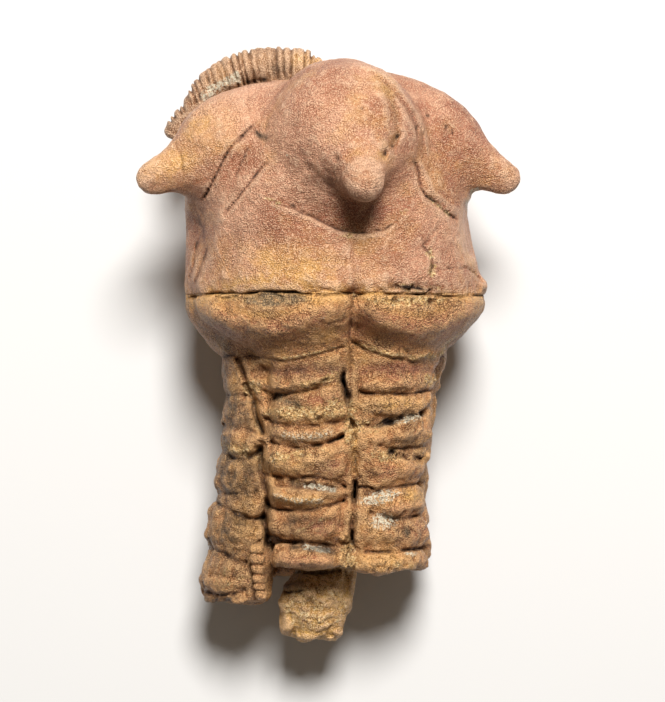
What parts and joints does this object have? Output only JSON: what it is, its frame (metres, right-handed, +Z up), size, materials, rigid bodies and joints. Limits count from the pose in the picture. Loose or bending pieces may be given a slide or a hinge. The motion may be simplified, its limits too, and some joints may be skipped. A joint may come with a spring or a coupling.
{
  "type": "fossil crinoid",
  "caption": "Stone crinoid crown lying on its back: spiny cup, jointed arms closed round a matrix core, and a curl of stem; a specimen for display or study.",
  "frame": {"origin": "on the surface the fossil lies on, under the middle of its box", "axes": "+Y along the crown towards the stem end, +X to the right seen from above, +Z up, away from the surface"},
  "size_m": [0.0634, 0.0996, 0.0525],
  "materials": {
    "crown_stone": "matte reddish brown calcite with ochre staining",
    "stem_stone": "matte tan calcite discs",
    "sandy_matrix": "rough ochre siltstone"
  },
  "bodies": {
    "root": {"cup": "crown_stone", "arm_front_right": "crown_stone", "arm_front_left": "crown_stone", "arm_left": "crown_stone", "arm_back": "crown_stone", "arm_right": "crown_stone", "matrix_core": "sandy_matrix", "stem": "stem_stone", "pinnule": "crown_stone"}
  },
  "joints": []
}
